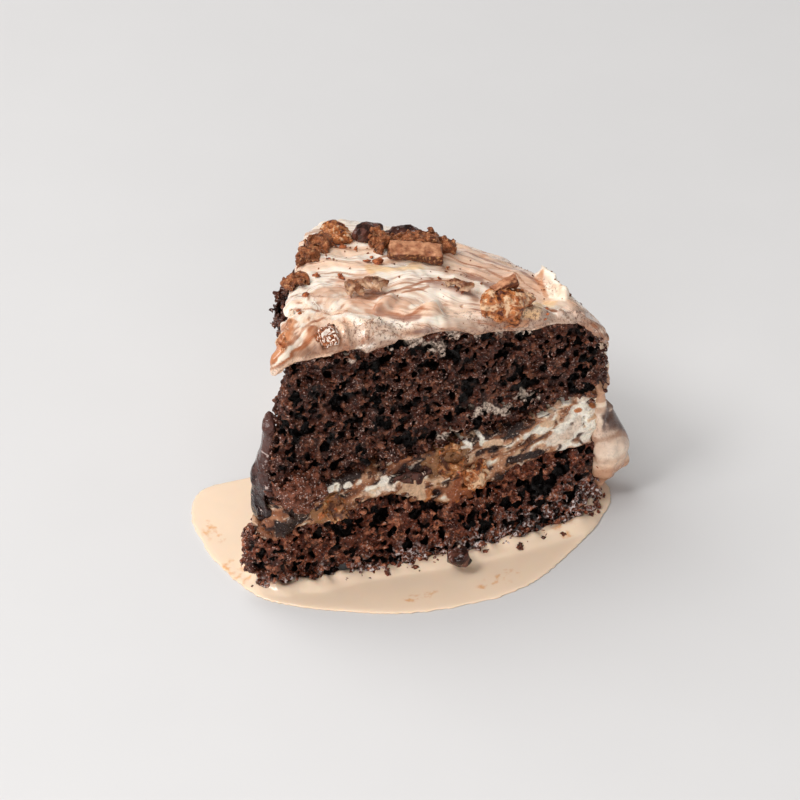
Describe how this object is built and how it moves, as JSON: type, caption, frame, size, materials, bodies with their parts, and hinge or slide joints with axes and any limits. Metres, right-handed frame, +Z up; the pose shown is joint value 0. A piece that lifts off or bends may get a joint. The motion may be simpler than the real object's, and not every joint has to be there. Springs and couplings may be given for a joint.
{
  "type": "tres leches cake slice",
  "caption": "Wedge of layered chocolate tres leches cake with cream filling, marbled frosting and candy pieces, standing in its milk.",
  "frame": {"origin": "on the flat underside of the lower sponge, at the middle of the slice's foot, level with the surface it stands on", "axes": "+Z up; +X along the front cut face from the slice's point to its rim; +Y from the front cut face into the slice"},
  "size_m": [0.1393, 0.1249, 0.0922],
  "materials": {
    "sponge": "moist open crumb",
    "filling": "streaked wet cream",
    "frosting": "spread cream, satin",
    "rim_cream": "spread cream, satin",
    "glaze": "wet gloss",
    "milk": "wet gloss",
    "milk_chocolate": "broken, dull",
    "dark_chocolate": "smooth, glossy",
    "cocoa_crumb": "broken, dull",
    "honeycomb": "rough, partly sticky",
    "caramel": "clear and glossy"
  },
  "bodies": {
    "root": {"sponge_lower": "sponge", "cream_filling": "filling", "sponge_upper": "sponge", "top_frosting": "frosting", "rim_cream": "rim_cream", "point_glaze": "glaze", "milk_pool": "milk", "bar_piece": "milk_chocolate", "cocoa_piece_left": "cocoa_crumb", "cocoa_piece_behind": "cocoa_crumb", "cocoa_piece_right": "cocoa_crumb", "dark_candy_left": "dark_chocolate", "dark_candy_right": "dark_chocolate", "honeycomb_piece": "honeycomb", "edge_cocoa_upper": "cocoa_crumb", "edge_cocoa_lower": "cocoa_crumb", "edge_candy": "milk_chocolate", "nougat_chunk": "honeycomb", "bar_shard": "milk_chocolate", "sunk_cocoa": "cocoa_crumb", "sunk_nougat": "honeycomb", "broken_candy": "dark_chocolate", "cake_lump": "cocoa_crumb", "filling_candy": "caramel", "fudge_strip": "dark_chocolate", "caramel_piece": "caramel", "filling_nougat": "honeycomb", "fallen_candy": "dark_chocolate"}
  },
  "joints": []
}
